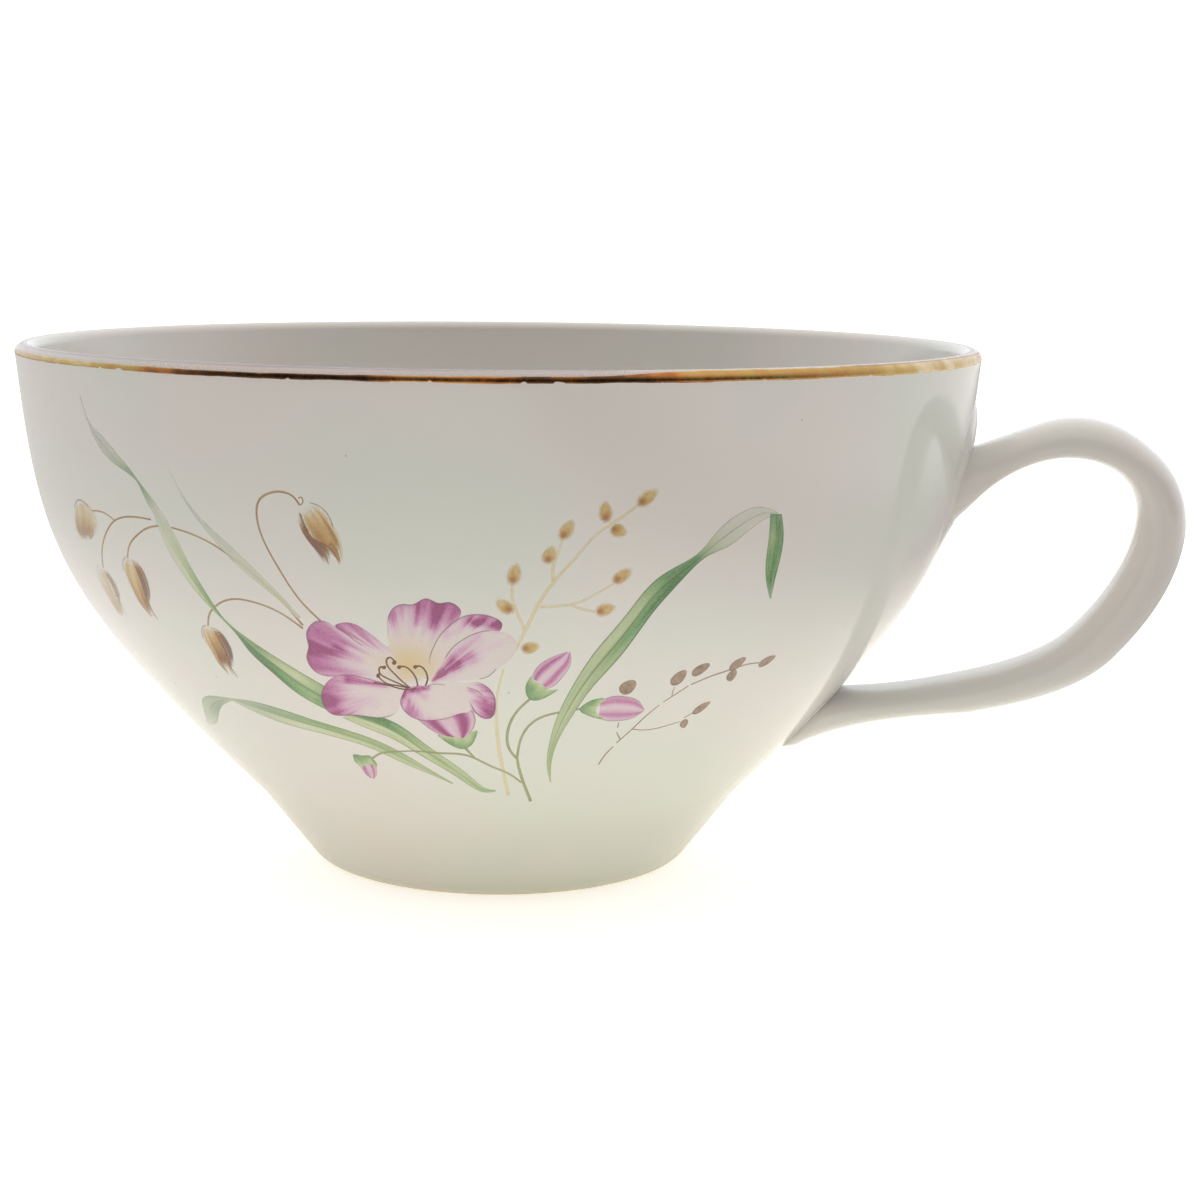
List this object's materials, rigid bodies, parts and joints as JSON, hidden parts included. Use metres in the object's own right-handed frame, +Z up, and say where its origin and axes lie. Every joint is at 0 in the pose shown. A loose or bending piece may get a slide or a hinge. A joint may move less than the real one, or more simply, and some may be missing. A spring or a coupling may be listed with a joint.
{
  "type": "teacup",
  "caption": "Low, wide porcelain teacup on a small foot with a loop handle, a gilded lip and a painted spray of wild flowers, grasses and oats on its side.",
  "frame": {"origin": "centre of the standing ring, on the surface that the cup stands on", "axes": "+Z up along the cup's axis, +X from the axis towards the handle"},
  "size_m": [0.121, 0.1002, 0.055],
  "materials": {
    "porcelain": "white porcelain body under the glaze",
    "bare_porcelain": "porcelain, its standing edge ground smooth and unglazed",
    "glaze": "clear glossy glaze over warm white porcelain",
    "gilding": "fired liquid gold, slightly uneven and worn",
    "mauve_enamel": "fired overglaze enamel, glossy",
    "green_enamel": "fired overglaze enamel, glossy",
    "olive_enamel": "fired overglaze enamel, glossy",
    "brown_enamel": "fired overglaze enamel, glossy",
    "ochre_enamel": "fired overglaze enamel, glossy"
  },
  "bodies": {
    "root": {"bowl": "porcelain", "foot_ring": "bare_porcelain", "handle": "porcelain", "handle_upper_joint": "porcelain", "handle_lower_joint": "porcelain", "glaze_outside": "glaze", "glaze_inside": "glaze", "glaze_underside": "glaze", "glaze_handle": "glaze", "rim_gilding": "gilding", "enamel_flower": "mauve_enamel", "enamel_buds": "mauve_enamel", "enamel_leaves": "green_enamel", "enamel_stems": "olive_enamel", "enamel_oats": "brown_enamel", "enamel_panicle": "ochre_enamel", "enamel_brown_sprig": "brown_enamel"}
  },
  "joints": []
}
